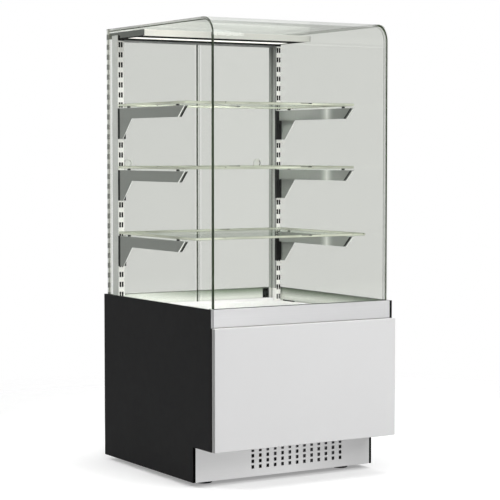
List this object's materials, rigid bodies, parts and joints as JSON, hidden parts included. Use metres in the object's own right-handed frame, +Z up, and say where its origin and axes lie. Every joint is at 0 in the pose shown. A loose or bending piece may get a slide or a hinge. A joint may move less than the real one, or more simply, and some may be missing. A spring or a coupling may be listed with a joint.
{
  "type": "bakery display case",
  "caption": "Free-standing bakery display case: chilled deck under a bent glass front and top, glass shelves on slotted posts, sliding rear glass doors and a vented black base.",
  "frame": {"origin": "centre of the footprint on the floor, below the feet", "axes": "+Z up, customer side faces -Y, +X to the right when facing the front"},
  "size_m": [0.6, 0.66, 1.29],
  "materials": {
    "aluminium": "satin anodised",
    "black_panel": "black laminate",
    "black_plastic": "fine grain",
    "black_steel": "matt",
    "bracket_steel": "satin",
    "clear_glass": "polished edges",
    "copper": "drawn tube",
    "door_glass": "polished edges",
    "foam": "matt foam",
    "galvanised": "matt galvanised",
    "header_grey": "matt",
    "header_white": "satin",
    "light_panel": "satin",
    "opal_plastic": "frosted",
    "post_steel": "satin",
    "pull_plastic": "gloss",
    "rubber": "matt",
    "shelf_glass": "polished edges",
    "stainless": "fine brushed",
    "zinc": "zinc plated"
  },
  "bodies": {
    "cabinet": {"base_pan": "galvanised", "bottom_door_track": "aluminium", "bottom_shelf": "shelf_glass", "compressor": "black_steel", "condenser_coil": "copper", "condenser_fins": "aluminium", "control_box": "black_plastic", "curved_front_glass": "clear_glass", "evaporator_coil": "copper", "fan_cowl": "galvanised", "fan_motor": "black_plastic", "fascia": "stainless", "front_bulkhead": "galvanised", "front_panel": "light_panel", "glass_seats": "rubber", "header_cover": "header_white", "header_end_caps": "header_grey", "header_soffit": "black_steel", "hook_plates": "black_steel", "inner_frame": "galvanised", "kick_plate": "stainless", "led_board": "aluminium", "led_driver": "aluminium", "left_bottom_bracket": "bracket_steel", "left_end_strip": "stainless", "left_middle_bracket": "bracket_steel", "left_post": "post_steel", "left_side_glass": "clear_glass", "left_side_panel": "black_panel", "left_top_bracket": "bracket_steel", "light_diffuser": "opal_plastic", "mains_cable": "black_plastic", "middle_shelf": "shelf_glass", "rear_rail": "stainless", "rear_service_panel": "galvanised", "refrigerant_lines": "copper", "right_bottom_bracket": "bracket_steel", "right_middle_bracket": "bracket_steel", "right_post": "post_steel", "right_side_glass": "clear_glass", "right_side_panel": "black_panel", "right_top_bracket": "bracket_steel", "service_panel_screws": "zinc", "shelf_pads": "rubber", "top_door_track": "aluminium", "top_shelf": "shelf_glass", "well_insulation": "foam", "well_liner": "stainless"},
    "left_door": {"left_door": "door_glass", "left_door_pull": "pull_plastic"},
    "right_door": {"right_door": "door_glass", "right_door_pull": "pull_plastic"},
    "fan": {"fan_blades": "black_plastic"},
    "power_rocker": {"power_switch": "black_plastic"},
    "lamp_rocker": {"lamp_switch": "black_plastic"},
    "thermostat": {"thermostat_knob": "black_plastic"},
    "front_left_foot": {"front_left_foot": "black_plastic"},
    "front_right_foot": {"front_right_foot": "black_plastic"},
    "rear_left_foot": {"rear_left_foot": "black_plastic"},
    "rear_right_foot": {"rear_right_foot": "black_plastic"}
  },
  "joints": [
    {"name": "left_door_slide", "type": "slide", "parent": "cabinet", "child": "left_door", "axis": [1, 0, 0], "range_m": [0, 0.252]},
    {"name": "right_door_slide", "type": "slide", "parent": "cabinet", "child": "right_door", "axis": [1, 0, 0], "range_m": [-0.252, 0]},
    {"name": "fan_spin", "type": "hinge", "parent": "cabinet", "child": "fan", "pos_m": [0.08, -0.119, 0.1215], "axis": [0, 1, 0], "continuous": true},
    {"name": "power_rocker_tilt", "type": "hinge", "parent": "cabinet", "child": "power_rocker", "pos_m": [0.098, 0.3082, 0.335], "axis": [1, 0, 0], "range_deg": [-16, 0]},
    {"name": "lamp_rocker_tilt", "type": "hinge", "parent": "cabinet", "child": "lamp_rocker", "pos_m": [0.132, 0.3082, 0.335], "axis": [1, 0, 0], "range_deg": [-16, 0]},
    {"name": "thermostat_turn", "type": "hinge", "parent": "cabinet", "child": "thermostat", "pos_m": [0.188, 0.3142, 0.335], "axis": [0, 1, 0], "range_deg": [-300, 0]},
    {"name": "front_left_foot_turn", "type": "hinge", "parent": "cabinet", "child": "front_left_foot", "pos_m": [-0.23, -0.15, 0], "axis": [0, 0, 1], "range_deg": [-720, 720]},
    {"name": "front_right_foot_turn", "type": "hinge", "parent": "cabinet", "child": "front_right_foot", "pos_m": [0.23, -0.15, 0], "axis": [0, 0, 1], "range_deg": [-720, 720]},
    {"name": "rear_left_foot_turn", "type": "hinge", "parent": "cabinet", "child": "rear_left_foot", "pos_m": [-0.23, 0.268, 0], "axis": [0, 0, 1], "range_deg": [-720, 720]},
    {"name": "rear_right_foot_turn", "type": "hinge", "parent": "cabinet", "child": "rear_right_foot", "pos_m": [0.23, 0.268, 0], "axis": [0, 0, 1], "range_deg": [-720, 720]}
  ]
}
